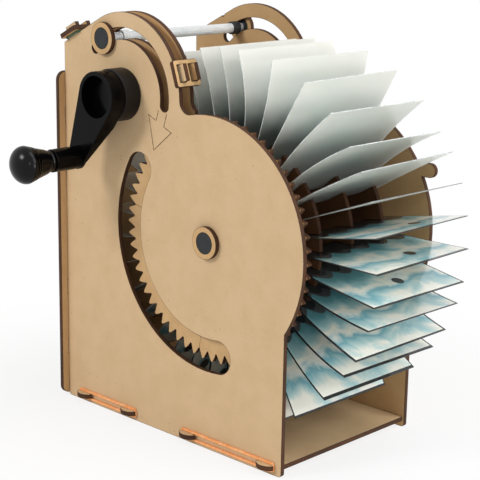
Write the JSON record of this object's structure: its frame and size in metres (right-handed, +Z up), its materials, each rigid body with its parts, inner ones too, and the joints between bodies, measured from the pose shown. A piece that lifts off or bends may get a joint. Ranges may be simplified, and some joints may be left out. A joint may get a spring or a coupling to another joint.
{
  "type": "flip-card viewer",
  "caption": "Hand-cranked flip-card viewer of laser-cut fibreboard: a geared drum of picture cards turns between two side panels and a rod in an arc slot flicks them over.",
  "frame": {"origin": "middle of the foot of the crank-side panel, on the floor", "axes": "+X along the side panels from the viewer wall towards the open card side, +Y from the crank side to the far side, +Z up"},
  "size_m": [0.2692, 0.206, 0.2746],
  "materials": {
    "fibreboard": "raw laser-cut fibreboard, brown burnt edges",
    "black_plastic": "glossy moulded",
    "dark_plastic": "matte moulded",
    "clear_plastic": "clear extruded rod",
    "card": "printed plastic card, semi-matt",
    "orange_rubber": "natural rubber band",
    "green_rubber": "natural rubber band",
    "steel": "drawn bar"
  },
  "bodies": {
    "case": {"front_panel": "fibreboard", "gear_plate": "fibreboard", "rear_panel": "fibreboard", "viewer_wall": "fibreboard", "base_plate": "fibreboard", "neck_buckle": "fibreboard", "slope_buckle": "fibreboard", "neck_band": "green_rubber", "slope_band": "green_rubber", "base_band_front_viewer_end": "orange_rubber", "base_band_front_card_end": "orange_rubber", "base_band_rear_viewer_end": "orange_rubber", "base_band_rear_card_end": "orange_rubber", "wall_band_front_lower": "orange_rubber", "wall_band_front_upper": "orange_rubber", "wall_band_rear_lower": "orange_rubber", "wall_band_rear_upper": "orange_rubber", "idler_pin": "steel", "idler_spacers": "fibreboard"},
    "drum": {"gear_sector_top": "fibreboard", "gear_sector_left": "fibreboard", "gear_sector_bottom": "fibreboard", "gear_sector_right": "fibreboard", "gear_carrier": "fibreboard", "card_disc_front": "fibreboard", "card_disc_middle": "fibreboard", "card_disc_rear": "fibreboard", "drum_stay_upper_right": "fibreboard", "drum_stay_upper_left": "fibreboard", "drum_stay_lower_left": "fibreboard", "drum_stay_lower_right": "fibreboard", "drum_axle": "dark_plastic", "axle_spacer_front": "fibreboard", "axle_spacer_rear": "fibreboard", "axle_ring_front": "fibreboard", "axle_ring_rear": "fibreboard", "axle_plug_front": "dark_plastic", "axle_plug_rear": "dark_plastic", "picture_cards": "card"},
    "crank": {"crank_boss": "black_plastic", "crank_handle": "black_plastic", "crank_shaft": "steel", "crank_pinion": "fibreboard", "crank_spacers": "fibreboard", "crank_collar": "fibreboard", "knob_spindle": "steel"},
    "knob": {"crank_knob": "black_plastic"},
    "idler": {"idler_gear": "fibreboard"},
    "flick_rod": {"stop_rod": "clear_plastic", "rod_sleeve_front": "clear_plastic", "rod_sleeve_rear": "dark_plastic", "rod_ring_front": "fibreboard", "rod_ring_rear": "fibreboard", "rod_plug_front": "dark_plastic", "rod_plug_rear": "dark_plastic"}
  },
  "joints": [
    {"name": "drum_spin", "type": "hinge", "parent": "case", "child": "drum", "pos_m": [0.03629, 0.0615, 0.1374], "axis": [0, -1, 0], "continuous": true},
    {"name": "idler_spin", "type": "hinge", "parent": "case", "child": "idler", "pos_m": [-0.02506, 0.0048, 0.20319], "axis": [0, -1, 0], "continuous": true},
    {"name": "crank_spin", "type": "hinge", "parent": "case", "child": "crank", "pos_m": [-0.04259, 0, 0.22198], "axis": [0, -1, 0], "continuous": true},
    {"name": "knob_spin", "type": "hinge", "parent": "crank", "child": "knob", "pos_m": [-0.06269, -0.0626, 0.18039], "axis": [0, -1, 0], "continuous": true},
    {"name": "rod_swing", "type": "hinge", "parent": "case", "child": "flick_rod", "pos_m": [-0.04259, 0.0615, 0.22198], "axis": [0, -1, 0], "range_deg": [-122.7, 17.5]}
  ],
  "couplings": [
    {"joint": "idler_spin", "follows": "drum_spin", "ratio": -6},
    {"joint": "crank_spin", "follows": "drum_spin", "ratio": 6}
  ]
}
